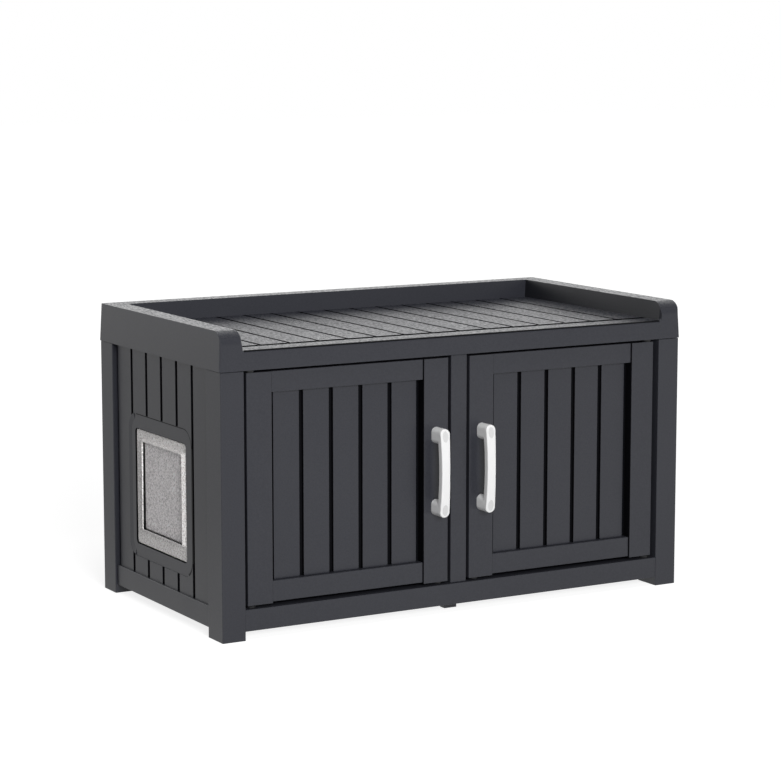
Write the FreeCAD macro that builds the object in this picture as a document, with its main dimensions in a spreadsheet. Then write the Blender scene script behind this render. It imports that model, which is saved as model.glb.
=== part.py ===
import FreeCAD, Part
import math
import os
import re
import Sketcher

os.makedirs("parts", exist_ok=True)
document = FreeCAD.newDocument("litter_box_enclosure")
sheet = document.addObject("Spreadsheet::Sheet", "Sizes")
sizes = {}
pieces = {}


# Helpers

def add_sizes(**values):
    """Write one group of named sizes, in millimetres, into the sheet."""
    for name, value in values.items():
        row = len(sizes) + 1
        sheet.set("A%d" % row, name)
        sheet.set("B%d" % row, str(value))
        sheet.setAlias("B%d" % row, name)
        sizes[name] = value
    sheet.recompute()


def value(name):
    """The number that a named size has."""
    return float(sheet.get(name))


def formula(text):
    """The expression for a text in which sizes are called by their names."""
    def cell(found):
        word = found.group(0)
        return "Sizes." + word if word in sizes else word
    return re.sub(r"[a-z][a-z_0-9]*", cell, text)


def bind(thing, name, text):
    thing.setExpression(name, formula(text))


def span(side, inner, outer):
    """Low and high X between two distances from the middle plane, on one side of it."""
    if side == "right":
        return (inner, outer)
    return ("-(%s)" % outer, "-(%s)" % inner)


def mirrored(side, distance):
    """X of a distance from the middle plane, on one side of it."""
    return distance if side == "right" else "-(%s)" % distance


def new_body(label):
    body = document.addObject("PartDesign::Body", label)
    body.Label = label
    pieces[label] = body
    return body


def origin_feature(body, role):
    for feature in body.Origin.OriginFeatures:
        if feature.Role == role:
            return feature


def new_sketch(body, role, name, height):
    """An empty sketch on a plane of the body's own origin, moved along its normal."""
    sketch = body.newObject("Sketcher::SketchObject", name)
    sketch.AttachmentSupport = (origin_feature(body, role), "")
    sketch.MapMode = "FlatFace"
    bind(sketch, "AttachmentOffset.Base.z", height)
    return sketch


def place_point(sketch, geometry, point, across, up, guess):
    """Hold one point of a sketch at two distances from the sketch's origin."""
    for kind, text, number in (("DistanceX", across, guess.x), ("DistanceY", up, guess.y)):
        constraint = Sketcher.Constraint(kind, -1, 1, geometry, point, number)
        index = sketch.addConstraint(constraint)
        bind(sketch, "Constraints[%d]" % index, text)


def outline(body, role, name, height, corners):
    """A closed outline of straight lines through corners given as pairs of texts."""
    sketch = new_sketch(body, role, name, height)
    count = len(corners)
    turn = 2 * math.pi / count
    guesses = [FreeCAD.Vector(math.cos(turn * i), math.sin(turn * i), 0) for i in range(count)]
    for i in range(count):
        sketch.addGeometry(Part.LineSegment(guesses[i], guesses[(i + 1) % count]))
    for i in range(count):
        sketch.addConstraint(Sketcher.Constraint("Coincident", i, 2, (i + 1) % count, 1))
    for i, (across, up) in enumerate(corners):
        place_point(sketch, i, 1, across, up, guesses[i])
    return sketch


def rounded_outline(body, role, name, height, edges, radii):
    """A rectangle with round corners. Edges and radii are names of sizes:
    low and high across, low and high up, then the radii of the low and the high corners."""
    sketch = new_sketch(body, role, name, height)
    left, right, low, high = [value(edge) for edge in edges]
    low_radius, high_radius = [value(radius) for radius in radii]
    upright = FreeCAD.Vector(0, 0, 1)
    centres = [
        (right - low_radius, low + low_radius, low_radius, -0.5),
        (right - high_radius, high - high_radius, high_radius, 0.0),
        (left + high_radius, high - high_radius, high_radius, 0.5),
        (left + low_radius, low + low_radius, low_radius, 1.0)]
    arcs = []
    for across, up, radius, start in centres:
        circle = Part.Circle(FreeCAD.Vector(across, up, 0), upright, radius)
        arcs.append(Part.ArcOfCircle(circle, start * math.pi, (start + 0.5) * math.pi))
    for i in range(4):
        sketch.addGeometry(Part.LineSegment(arcs[i - 1].EndPoint, arcs[i].StartPoint))
        sketch.addGeometry(arcs[i])
    for i in range(8):
        sketch.addConstraint(Sketcher.Constraint("Tangent", i, 2, (i + 1) % 8, 1))
    for i, kind in ((0, "Horizontal"), (2, "Vertical"), (4, "Horizontal"), (6, "Vertical")):
        sketch.addConstraint(Sketcher.Constraint(kind, i))
    sides = ((0, "DistanceY", edges[2]), (2, "DistanceX", edges[1]),
             (4, "DistanceY", edges[3]), (6, "DistanceX", edges[0]))
    for line, kind, edge in sides:
        index = sketch.addConstraint(Sketcher.Constraint(kind, -1, 1, line, 1, value(edge)))
        bind(sketch, "Constraints[%d]" % index, edge)
    for arc, radius in ((1, radii[0]), (3, radii[1]), (5, radii[1]), (7, radii[0])):
        index = sketch.addConstraint(Sketcher.Constraint("Radius", arc, value(radius)))
        bind(sketch, "Constraints[%d]" % index, radius)
    return sketch


def disc_outline(body, role, name, height, across, up, radius):
    """A circle."""
    sketch = new_sketch(body, role, name, height)
    upright = FreeCAD.Vector(0, 0, 1)
    sketch.addGeometry(Part.Circle(FreeCAD.Vector(0, 0, 0), upright, value(radius)))
    place_point(sketch, 0, 3, across, up, FreeCAD.Vector(1, 1, 0))
    index = sketch.addConstraint(Sketcher.Constraint("Radius", 0, value(radius)))
    bind(sketch, "Constraints[%d]" % index, radius)
    return sketch


def pad(body, name, sketch, length, backwards=False):
    feature = body.newObject("PartDesign::Pad", name)
    feature.Profile = sketch
    feature.Reversed = backwards
    bind(feature, "Length", length)
    return feature


def pocket(body, name, sketch, length, backwards=False):
    feature = body.newObject("PartDesign::Pocket", name)
    feature.Profile = sketch
    feature.Reversed = backwards
    bind(feature, "Length", length)
    return feature


def corners_of(x, y):
    return [(x[0], y[0]), (x[1], y[0]), (x[1], y[1]), (x[0], y[1])]


def block(body, name, x, y, z):
    """Add a straight block between low and high texts on each axis."""
    sketch = outline(body, "XY_Plane", name + "_outline", z[0], corners_of(x, y))
    return pad(body, name, sketch, "(%s) - (%s)" % (z[1], z[0]))


def recess(body, name, x, y, z):
    """Cut a straight block away between low and high texts on each axis."""
    sketch = outline(body, "XY_Plane", name + "_outline", z[1], corners_of(x, y))
    return pocket(body, name, sketch, "(%s) - (%s)" % (z[1], z[0]))


def repeat(body, feature, axis, count, pitch):
    """Repeat a feature along one axis, as often as the size named by count, at an even pitch."""
    pattern = body.newObject("PartDesign::LinearPattern", feature.Name + "_row")
    pattern.Originals = [feature]
    pattern.Direction = (origin_feature(body, axis), [""])
    bind(pattern, "Occurrences", count)
    bind(pattern, "Length", "(%s) * (%s - 1)" % (pitch, count))
    body.Tip = pattern
    return pattern


def runs_along(edge, direction):
    """True for a straight edge along a direction."""
    if not isinstance(edge.Curve, Part.Line):
        return False
    return abs(abs(edge.Curve.Direction.dot(direction)) - 1) < 0.002


def round_edges(body, name, radius, wanted):
    """Round each edge of the body for which wanted(edge) is true."""
    document.recompute()
    base = body.Tip
    names = []
    for number, edge in enumerate(base.Shape.Edges, 1):
        if wanted(edge):
            names.append("Edge%d" % number)
    feature = body.newObject("PartDesign::Fillet", name)
    feature.Base = (base, names)
    bind(feature, "Radius", radius)
    return feature


def cylinder(name, radius, x, y, z, height, axis="Z"):
    """A round bar from a point along +Z, or along +Y or +X."""
    bar = document.addObject("Part::Cylinder", name)
    turns = {"Z": FreeCAD.Rotation(), "Y": FreeCAD.Rotation(FreeCAD.Vector(1, 0, 0), -90),
             "X": FreeCAD.Rotation(FreeCAD.Vector(0, 1, 0), 90)}
    bar.Placement = FreeCAD.Placement(FreeCAD.Vector(), turns[axis])
    bind(bar, "Radius", radius)
    bind(bar, "Height", height)
    for letter, text in (("x", x), ("y", y), ("z", z)):
        bind(bar, "Placement.Base." + letter, text)
    return bar


def fused(name, shapes):
    joined = document.addObject("Part::MultiFuse", name)
    joined.Shapes = shapes
    return joined


def group(label, shapes):
    """Several separate solids of one kind under one name."""
    whole = document.addObject("Part::Compound", label)
    whole.Links = shapes
    whole.Label = label
    pieces[label] = whole
    return whole


X_LINE = FreeCAD.Vector(1, 0, 0)
Y_LINE = FreeCAD.Vector(0, 1, 0)
Z_LINE = FreeCAD.Vector(0, 0, 1)


# The whole cabinet: X across the doors, Y from front to back, Z up from the floor
add_sizes(
    width=1000, depth=527, lid_overhang=2, handle_reach=30.5,
    seam=492, deck_top=529.5, rim_top=565.3,
    half_width="=width / 2",
    front="=handle_reach - (depth + lid_overhang + handle_reach) / 2",
    back="=front + depth")


# Corner posts: hollow mouldings, open at the foot, slotted for the panels that slide into them
add_sizes(
    post_width=46.8, front_post_depth=59, back_post_depth=54, post_edge=1.5, post_wall=4,
    plank_set_back=8, plank_relief=6, plate_thickness=6, tongue=8,
    plate_outer="=plank_set_back + plank_relief",
    plate_inner="=plate_outer + plate_thickness",
    panel_low=48.5, post_inner="=half_width - post_width")


def corner_post(side, row):
    body = new_body("post_%s_%s" % (row, side))
    x = span(side, "post_inner", "half_width")
    hollow_x = span(side, "post_inner + tongue + post_wall", "half_width - post_wall")
    slot_x = span(side, "half_width - plate_inner", "half_width - plate_outer")
    if row == "front":
        y = ("front", "front + front_post_depth")
        slot_y = ("front + front_post_depth - tongue", "front + front_post_depth")
        hollow_y = ("front + post_wall", "front + front_post_depth - tongue - post_wall")
    else:
        y = ("back - back_post_depth", "back")
        slot_y = ("back - back_post_depth", "back - back_post_depth + tongue")
        hollow_y = ("back - back_post_depth + tongue + post_wall", "back - post_wall")
    block(body, body.Name + "_stock", x, y, ("0", "seam"))
    round_edges(body, body.Name + "_edges", "post_edge", lambda edge: runs_along(edge, Z_LINE))
    recess(body, body.Name + "_side_slot", slot_x, slot_y, ("panel_low", "seam"))
    if row == "back":
        back_slot_x = span(side, "post_inner", "post_inner + tongue")
        back_slot_y = ("back - plate_inner", "back - plate_outer")
        recess(body, body.Name + "_back_slot", back_slot_x, back_slot_y, ("panel_low", "seam"))
    recess(body, body.Name + "_hollow", hollow_x, hollow_y, ("0", "seam - post_wall"))


for side in ("left", "right"):
    for row in ("front", "back"):
        corner_post(side, row)


# Bottom rails: ribbed channels with a ledge for the floor and a slot for the panel
add_sizes(
    rail_low=16.8, rail_top=56.7, rail_wall=4, rail_cell_height=22,
    front_rail_set_back=1, front_rail_depth=34, side_rail_set_back=4, side_rail_depth=32,
    ledge_width=8, ledge_top=46,
    side_front="=front + front_post_depth", side_back="=back - back_post_depth",
    rail_inner="=half_width - side_rail_set_back - side_rail_depth",
    rail_outer="=half_width - side_rail_set_back",
    cell_top="=rail_low + rail_cell_height",
    front_cell_count=6, side_cell_count=3,
    front_cell="=(2 * post_inner - rail_wall) / front_cell_count - rail_wall",
    side_cell="=(side_back - side_front - rail_wall) / side_cell_count - rail_wall")


def cells(body, x, y, axis, count, cell):
    """Open cells in the underside, which leave ribs between them."""
    first = recess(body, body.Name + "_cell", x, y, ("rail_low", "cell_top"))
    repeat(body, first, axis, count, "%s + rail_wall" % cell)


def side_rail(side):
    body = new_body(side + "_rail")
    y = ("side_front", "side_back")
    block(body, body.Name + "_stock", span(side, "rail_inner", "rail_outer"), y, ("rail_low", "rail_top"))
    ledge_x = span(side, "rail_inner", "rail_inner + ledge_width")
    recess(body, body.Name + "_ledge", ledge_x, y, ("ledge_top", "rail_top"))
    slot_x = span(side, "half_width - plate_inner", "half_width - plate_outer")
    recess(body, body.Name + "_slot", slot_x, y, ("panel_low", "rail_top"))
    cell_x = span(side, "rail_inner + rail_wall", "rail_outer - rail_wall")
    cell_y = ("side_front + rail_wall", "side_front + rail_wall + side_cell")
    cells(body, cell_x, cell_y, "Y_Axis", "side_cell_count", "side_cell")


side_rail("left")
side_rail("right")

front_rail = new_body("front_rail")
front_rail_x = ("-post_inner", "post_inner")
block(front_rail, "front_rail_stock", front_rail_x,
      ("front + front_rail_set_back", "front + front_rail_set_back + front_rail_depth"),
      ("rail_low", "rail_top"))
recess(front_rail, "front_rail_ledge", front_rail_x,
       ("front + front_rail_set_back + front_rail_depth - ledge_width",
        "front + front_rail_set_back + front_rail_depth"),
       ("ledge_top", "rail_top"))
cells(front_rail, ("-post_inner + rail_wall", "-post_inner + rail_wall + front_cell"),
      ("front + front_rail_set_back + rail_wall",
       "front + front_rail_set_back + front_rail_depth - rail_wall"), "X_Axis",
      "front_cell_count", "front_cell")

back_rail = new_body("back_rail")
block(back_rail, "back_rail_stock", front_rail_x,
      ("back - side_rail_set_back - side_rail_depth", "back - side_rail_set_back"),
      ("rail_low", "rail_top"))
recess(back_rail, "back_rail_ledge", front_rail_x,
       ("back - side_rail_set_back - side_rail_depth",
        "back - side_rail_set_back - side_rail_depth + ledge_width"),
       ("ledge_top", "rail_top"))
recess(back_rail, "back_rail_slot", front_rail_x,
       ("back - plate_inner", "back - plate_outer"), ("panel_low", "rail_top"))
cells(back_rail, ("-post_inner + rail_wall", "-post_inner + rail_wall + front_cell"),
      ("back - side_rail_set_back - side_rail_depth + rail_wall",
       "back - side_rail_set_back - rail_wall"), "X_Axis",
      "front_cell_count", "front_cell")


# Floor: a plate that lies on the rails' ledges, notched round the posts, ribbed underneath
add_sizes(
    floor_thickness=6, floor_gap=0.5, floor_rib=4, floor_rib_height=20, floor_rib_pitch=120,
    floor_rib_count=8, first_floor_rib="=-(floor_rib_count - 1) / 2 * floor_rib_pitch",
    floor_half="=rail_inner + ledge_width - floor_gap",
    floor_front="=front + front_rail_set_back + front_rail_depth - ledge_width + floor_gap",
    floor_back="=back - side_rail_set_back - side_rail_depth + ledge_width - floor_gap",
    notch_x="=post_inner - floor_gap",
    notch_front="=side_front + floor_gap", notch_back="=side_back - floor_gap")

floor_panel = new_body("floor_panel")
floor_corners = [
    ("-notch_x", "floor_front"), ("notch_x", "floor_front"), ("notch_x", "notch_front"),
    ("floor_half", "notch_front"), ("floor_half", "notch_back"), ("notch_x", "notch_back"),
    ("notch_x", "floor_back"), ("-notch_x", "floor_back"), ("-notch_x", "notch_back"),
    ("-floor_half", "notch_back"), ("-floor_half", "notch_front"), ("-notch_x", "notch_front")]
floor_outline = outline(floor_panel, "XY_Plane", "floor_outline", "ledge_top", floor_corners)
pad(floor_panel, "floor_plate", floor_outline, "floor_thickness")
floor_first_rib = block(
    floor_panel, "floor_rib_bar",
    ("first_floor_rib - floor_rib / 2", "first_floor_rib + floor_rib / 2"),
    ("front + front_rail_set_back + front_rail_depth + floor_gap",
     "back - side_rail_set_back - side_rail_depth - floor_gap"),
    ("ledge_top - floor_rib_height", "ledge_top"))
repeat(floor_panel, floor_first_rib, "X_Axis", "floor_rib_count", "floor_rib_pitch")


# Centre foot: a short leg behind the front rail, just clear of level ground
add_sizes(foot_width=27, foot_depth=17, foot_set_back=35.5, foot_clear=1.5)

centre_foot = new_body("centre_foot")
foot_outline = outline(centre_foot, "XY_Plane", "foot_outline", "foot_clear", corners_of(
    ("-foot_width / 2", "foot_width / 2"),
    ("front + foot_set_back", "front + foot_set_back + foot_depth")))
pad(centre_foot, "foot_leg", foot_outline, "ledge_top - foot_clear")


# Headers: ribbed beams on the posts that carry the lid, the top pivots and the catches
add_sizes(
    header_end=6, header_set_back=6, front_header_depth=46, back_header_depth=30,
    back_header_set_back=22, deck_thickness=5, header_wall=4, header_cell_height=20,
    header_half="=half_width - header_end", header_top="=deck_top - deck_thickness",
    header_cell_count=6,
    header_cell="=(2 * header_half - header_wall) / header_cell_count - header_wall")


def header(label, y):
    body = new_body(label)
    block(body, label + "_stock", ("-header_half", "header_half"), y, ("seam", "header_top"))
    first = recess(body, label + "_cell",
                   ("-header_half + header_wall", "-header_half + header_wall + header_cell"),
                   (y[0] + " + header_wall", y[1] + " - header_wall"),
                   ("header_top - header_cell_height", "header_top"))
    repeat(body, first, "X_Axis", "header_cell_count", "header_cell + header_wall")
    return body


front_header = header(
    "front_header", ("front + header_set_back", "front + header_set_back + front_header_depth"))
header("back_header", ("back - back_header_set_back - back_header_depth", "back - back_header_set_back"))


# Panels: one moulding each, planks standing proud of a plate whose edges are tongues
add_sizes(
    panel_top=505, groove_top=490, groove_width=9.5, side_groove_pitch=66.5,
    side_first_groove=134, last_plank_end=464,
    first_groove="=front + side_first_groove",
    side_groove_count=5, back_groove_count=11,
    back_pitch="=2 * post_inner / (back_groove_count + 1)")


def side_panel(side):
    body = new_body(side + "_side_panel")
    name = body.Name
    plate_x = span(side, "half_width - plate_inner", "half_width - plate_outer")
    plank_x = span(side, "half_width - plate_inner", "half_width - plank_set_back")
    groove_x = span(side, "half_width - plate_outer", "half_width - plank_set_back")
    block(body, name + "_plate", plate_x, ("side_front - tongue", "side_back + tongue"),
          ("panel_low", "seam - deck_thickness"))
    block(body, name + "_planks", plank_x, ("side_front", "side_back"), ("rail_top", "panel_top"))
    recess(body, name + "_end_groove", groove_x, ("front + last_plank_end", "side_back"),
           ("rail_top", "groove_top"))
    first = recess(body, name + "_groove", groove_x,
                   ("first_groove - groove_width / 2", "first_groove + groove_width / 2"),
                   ("rail_top", "groove_top"))
    repeat(body, first, "Y_Axis", "side_groove_count", "side_groove_pitch")
    return body


side_panel("right")

back_panel = new_body("back_panel")
block(back_panel, "back_plate", ("-post_inner - tongue", "post_inner + tongue"),
      ("back - plate_inner", "back - plate_outer"), ("panel_low", "seam - deck_thickness"))
block(back_panel, "back_planks", ("-post_inner", "post_inner"),
      ("back - plate_inner", "back - plank_set_back"), ("rail_top", "panel_top"))
back_groove = recess(
    back_panel, "back_groove",
    ("-post_inner + back_pitch - groove_width / 2", "-post_inner + back_pitch + groove_width / 2"),
    ("back - plate_outer", "back - plank_set_back"), ("rail_top", "groove_top"))
repeat(back_panel, back_groove, "X_Axis", "back_groove_count", "back_pitch")


# Left panel: the planks stop at a sunk surround, and the cat flap's frame sits in its seat
add_sizes(
    surround_front="=first_groove + groove_width / 2", surround_back="=front + 417",
    surround_low=90.3, surround_high=368.2, surround_low_radius=30, surround_high_radius=34,
    surround_set_back=9.5,
    seat_front="=front + 166", seat_back="=front + 390.8", seat_low=114.7, seat_high=339.6,
    seat_radius=9, seat_set_back=14.5,
    clear_front="=front + 180.5", clear_back="=front + 354.5", clear_low=148, clear_high=317.3,
    clear_radius=3, seal_width=2.5,
    hole_front="=clear_front - seal_width", hole_back="=clear_back + seal_width",
    hole_low="=clear_low - seal_width", hole_high="=clear_high + seal_width", hole_radius=4)

left_panel = side_panel("left")
surround_edges = ("surround_front", "surround_back", "surround_low", "surround_high")
seat_edges = ("seat_front", "seat_back", "seat_low", "seat_high")
hole_edges = ("hole_front", "hole_back", "hole_low", "hole_high")
left_surround = rounded_outline(left_panel, "YZ_Plane", "surround_outline",
                                "plate_outer - half_width", surround_edges,
                                ("surround_low_radius", "surround_high_radius"))
pad(left_panel, "surround", left_surround, "plate_outer - surround_set_back", backwards=True)
document.recompute()
surround_cut = rounded_outline(left_panel, "YZ_Plane", "surround_cut_outline",
                               "surround_set_back - half_width", surround_edges,
                               ("surround_low_radius", "surround_high_radius"))
pocket(left_panel, "surround_face", surround_cut, "surround_set_back")
document.recompute()
left_seat = rounded_outline(left_panel, "YZ_Plane", "seat_outline", "seat_set_back - half_width",
                            seat_edges, ("seat_radius", "seat_radius"))
pocket(left_panel, "seat", left_seat, "seat_set_back")
document.recompute()
left_hole = rounded_outline(left_panel, "YZ_Plane", "hole_outline", "plate_inner - half_width",
                            hole_edges, ("hole_radius", "hole_radius"))
pocket(left_panel, "hole", left_hole, "plate_inner")


# Cat flap frame, outside: a plate with a raised lip whose flanks slope to the opening
add_sizes(
    frame_gap=2, frame_radius=7, frame_thickness=2.5, lip_set_back=6, lip_land=2,
    flank_side=9.5, flank_end=2.2, flank_radius=5, seal_outer_face=10.3, seal_inner_face=13,
    frame_set_back="=seat_set_back - frame_thickness",
    frame_front="=seat_front + frame_gap", frame_back="=seat_back - frame_gap",
    frame_low="=seat_low + frame_gap", frame_high="=seat_high - frame_gap",
    land_front="=clear_front - lip_land", land_back="=clear_back + lip_land",
    land_low="=clear_low - lip_land", land_high="=clear_high + lip_land",
    flank_front="=land_front - flank_side", flank_back="=land_back + flank_side",
    flank_low="=land_low - flank_end", flank_high="=land_high + flank_end")

frame_edges = ("frame_front", "frame_back", "frame_low", "frame_high")
clear_edges = ("clear_front", "clear_back", "clear_low", "clear_high")
land_edges = ("land_front", "land_back", "land_low", "land_high")
flank_edges = ("flank_front", "flank_back", "flank_low", "flank_high")

outer_frame = new_body("flap_outer_frame")
frame_plate = rounded_outline(outer_frame, "YZ_Plane", "frame_outline",
                              "seat_set_back - half_width", frame_edges,
                              ("frame_radius", "frame_radius"))
pad(outer_frame, "frame_plate", frame_plate, "frame_thickness", backwards=True)
document.recompute()
flank_base = rounded_outline(outer_frame, "YZ_Plane", "flank_outline",
                             "frame_set_back - half_width", flank_edges,
                             ("flank_radius", "flank_radius"))
land_top = rounded_outline(outer_frame, "YZ_Plane", "land_outline",
                           "lip_set_back - half_width", land_edges,
                           ("flank_radius", "flank_radius"))
lip = outer_frame.newObject("PartDesign::AdditiveLoft", "lip")
lip.Profile = flank_base
lip.Sections = [land_top]
lip.Ruled = True
document.recompute()
seal_seat = rounded_outline(outer_frame, "YZ_Plane", "seal_seat_outline",
                            "seal_outer_face - half_width", hole_edges,
                            ("hole_radius", "hole_radius"))
pocket(outer_frame, "seal_seat", seal_seat, "frame_thickness + frame_set_back", backwards=True)
clear_outline = rounded_outline(outer_frame, "YZ_Plane", "clear_outline",
                                "seat_set_back - half_width", clear_edges,
                                ("clear_radius", "clear_radius"))
pocket(outer_frame, "clear_opening", clear_outline, "seat_set_back")

flap_seal = new_body("flap_seal")
seal_ring = rounded_outline(flap_seal, "YZ_Plane", "seal_outline",
                            "seal_inner_face - half_width", hole_edges,
                            ("hole_radius", "hole_radius"))
pad(flap_seal, "seal_ring", seal_ring, "seal_inner_face - seal_outer_face", backwards=True)
seal_clear = rounded_outline(flap_seal, "YZ_Plane", "seal_clear_outline",
                             "seal_inner_face - half_width", clear_edges,
                             ("clear_radius", "clear_radius"))
pocket(flap_seal, "seal_opening", seal_clear, "seal_inner_face")


# Cat flap frame, inside: a flange and a tunnel through the panel that holds the pin
add_sizes(
    flange_face=25, flap_pin_radius=1.5, flap_pin_clearance=0.05, flap_axis=14.7,
    flap_top_gap=9, flap_axis_height="=clear_high - flap_top_gap",
    flap_hole_radius="=flap_pin_radius + flap_pin_clearance",
    magnet_length=30, magnet_height=6, magnet_depth=3,
    middle="=(clear_front + clear_back) / 2")

inner_frame = new_body("flap_inner_frame")
flange = rounded_outline(inner_frame, "YZ_Plane", "flange_outline", "plate_inner - half_width",
                         frame_edges, ("frame_radius", "frame_radius"))
pad(inner_frame, "flange", flange, "flange_face - plate_inner")
tunnel = rounded_outline(inner_frame, "YZ_Plane", "tunnel_outline", "seal_inner_face - half_width",
                         hole_edges, ("hole_radius", "hole_radius"))
pad(inner_frame, "tunnel", tunnel, "flange_face - seal_inner_face")
document.recompute()
tunnel_clear = rounded_outline(inner_frame, "YZ_Plane", "tunnel_clear_outline",
                               "flange_face - half_width", clear_edges,
                               ("clear_radius", "clear_radius"))
pocket(inner_frame, "tunnel_opening", tunnel_clear, "flange_face")
pin_bore = disc_outline(inner_frame, "XZ_Plane", "pin_bore_outline", "-hole_back",
                        "flap_axis - half_width", "flap_axis_height", "flap_hole_radius")
pocket(inner_frame, "pin_bore", pin_bore, "hole_back - hole_front", backwards=True)
recess(inner_frame, "magnet_seat",
       ("flap_axis - half_width - magnet_depth / 2", "flap_axis - half_width + magnet_depth / 2"),
       ("middle - magnet_length / 2", "middle + magnet_length / 2"),
       ("clear_low - magnet_depth / 2", "clear_low"))


# Cat flap: a plate that hangs from a steel pin and swings both ways through the frame
add_sizes(
    flap_face=12.2, flap_thickness=5, flap_gap=1.5, flap_radius=3, pin_end_gap=1,
    flap_front="=clear_front + flap_gap", flap_back="=clear_back - flap_gap",
    flap_low="=clear_low + flap_gap", flap_high="=clear_high - flap_gap")

cat_flap = new_body("cat_flap")
flap_outline = rounded_outline(cat_flap, "YZ_Plane", "flap_outline",
                               "flap_face - half_width",
                               ("flap_front", "flap_back", "flap_low", "flap_high"),
                               ("flap_radius", "flap_radius"))
pad(cat_flap, "flap_plate", flap_outline, "flap_thickness")
document.recompute()
flap_bore = disc_outline(cat_flap, "XZ_Plane", "flap_bore_outline", "-flap_back",
                         "flap_axis - half_width", "flap_axis_height", "flap_pin_radius")
pocket(cat_flap, "flap_bore", flap_bore, "flap_back - flap_front", backwards=True)
recess(cat_flap, "flap_magnet_seat",
       ("flap_axis - half_width - magnet_depth / 2", "flap_axis - half_width + magnet_depth / 2"),
       ("middle - magnet_length / 2", "middle + magnet_length / 2"),
       ("flap_low", "flap_low + magnet_height"))

flap_magnet = new_body("flap_magnet")
block(flap_magnet, "flap_magnet_bar",
      ("flap_axis - half_width - magnet_depth / 2", "flap_axis - half_width + magnet_depth / 2"),
      ("middle - magnet_length / 2", "middle + magnet_length / 2"),
      ("flap_low", "flap_low + magnet_height"))

sill_magnet = new_body("sill_magnet")
block(sill_magnet, "sill_magnet_bar",
      ("flap_axis - half_width - magnet_depth / 2", "flap_axis - half_width + magnet_depth / 2"),
      ("middle - magnet_length / 2", "middle + magnet_length / 2"),
      ("clear_low - magnet_depth / 2", "clear_low"))

flap_pin_bar = cylinder("flap_pin_bar", "flap_pin_radius", "flap_axis - half_width",
                        "hole_front + pin_end_gap", "flap_axis_height",
                        "hole_back - hole_front - 2 * pin_end_gap", "Y")
group("flap_pin", [flap_pin_bar])


# Doors: two stiles and two rails round a slatted panel
add_sizes(
    door_set_back=7, door_thickness=25, door_inner=23.4, door_outer=445.2,
    door_low=61.8, door_high=487.4, handle_stile_width=53.2, hinge_stile_width=51.5,
    stile_edge=1.5, rail_recess=3, top_rail_low=449, bottom_rail_low=63.8, bottom_rail_high=102.7,
    slat_face=20.2, slat_depth=7, slat_plate=3, slat_gap=8.4, slat_count=5,
    door_face="=front + door_set_back", door_back="=door_face + door_thickness",
    stile_inner="=door_inner + handle_stile_width",
    stile_outer="=door_outer - hinge_stile_width",
    slat_front="=front + slat_face", slat_back="=slat_front + slat_depth",
    slat_width="=(stile_outer - stile_inner - slat_gap) / slat_count - slat_gap",
    pivot_inset=10, pivot_x="=door_outer - pivot_inset", pivot_y="=door_face + pivot_inset",
    pin_radius=4, pin_grip=30, pin_gap=1.5, bush_radius=8, bush_clearance=0.05,
    bush_bore="=pin_radius + bush_clearance", bush_depth=10, bush_flange=10,
    bush_flange_height=4.1, handle_screw_radius=2, handle_screw_gap=0.05,
    screw_hole="=handle_screw_radius + handle_screw_gap",
    handle_x=50, handle_middle=275, handle_screw_spread=148,
    glide_radius=9, glide_gap=0.6, glide_x=40)


def front_upright(edge):
    """True for an upright edge on the face that a door shows."""
    return runs_along(edge, Z_LINE) and abs(edge.CenterOfMass.y - value("door_face")) < 0.01


def stile(side, label, inner, outer, slot):
    body = new_body("%s_door_%s" % (side, label))
    name = body.Name
    block(body, name + "_stock", span(side, inner, outer), ("door_face", "door_back"),
          ("door_low", "door_high"))
    round_edges(body, name + "_edges", "stile_edge", front_upright)
    recess(body, name + "_slot", span(side, slot[0], slot[1]), ("slat_back", "slat_back + slat_plate"),
           ("bottom_rail_high - tongue", "top_rail_low + tongue"))
    return body


def door(side):
    hinge = stile(side, "hinge_stile", "stile_outer", "door_outer",
                  ("stile_outer", "stile_outer + tongue"))
    x = mirrored(side, "pivot_x")
    for end, top in (("low", "door_low + pin_grip"), ("high", "door_high")):
        bore = disc_outline(hinge, "XY_Plane", "%s_%s_bore_outline" % (hinge.Name, end), top,
                            x, "pivot_y", "pin_radius")
        pocket(hinge, "%s_%s_bore" % (hinge.Name, end), bore, "pin_grip")

    grip = stile(side, "handle_stile", "door_inner", "stile_inner",
                 ("stile_inner - tongue", "stile_inner"))
    for end, sign in (("low", "-"), ("high", "+")):
        height = "handle_middle %s handle_screw_spread / 2" % sign
        hole = disc_outline(grip, "XZ_Plane", "%s_%s_hole_outline" % (grip.Name, end),
                            "-door_back", mirrored(side, "handle_x"), height, "screw_hole")
        pocket(grip, "%s_%s_hole" % (grip.Name, end), hole, "door_thickness", backwards=True)

    rail_x = span(side, "stile_inner", "stile_outer")
    rail_y = ("door_face + rail_recess", "door_back")
    slot_y = ("slat_back", "slat_back + slat_plate")
    top = new_body(side + "_door_top_rail")
    block(top, top.Name + "_stock", rail_x, rail_y, ("top_rail_low", "door_high"))
    recess(top, top.Name + "_slot", rail_x, slot_y, ("top_rail_low", "top_rail_low + tongue"))
    low = new_body(side + "_door_bottom_rail")
    block(low, low.Name + "_stock", rail_x, rail_y, ("bottom_rail_low", "bottom_rail_high"))
    recess(low, low.Name + "_slot", rail_x, slot_y, ("bottom_rail_high - tongue", "bottom_rail_high"))

    slats = new_body(side + "_door_slat_panel")
    name = slats.Name
    block(slats, name + "_plate", span(side, "stile_inner - tongue", "stile_outer + tongue"), slot_y,
          ("bottom_rail_high - tongue", "top_rail_low + tongue"))
    first_x = "%s + slat_gap" % rail_x[0]
    slat = block(slats, name + "_slat", (first_x, first_x + " + slat_width"),
                 ("slat_front", "slat_back"), ("bottom_rail_high", "top_rail_low"))
    repeat(slats, slat, "X_Axis", "slat_count", "slat_width + slat_gap")


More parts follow.
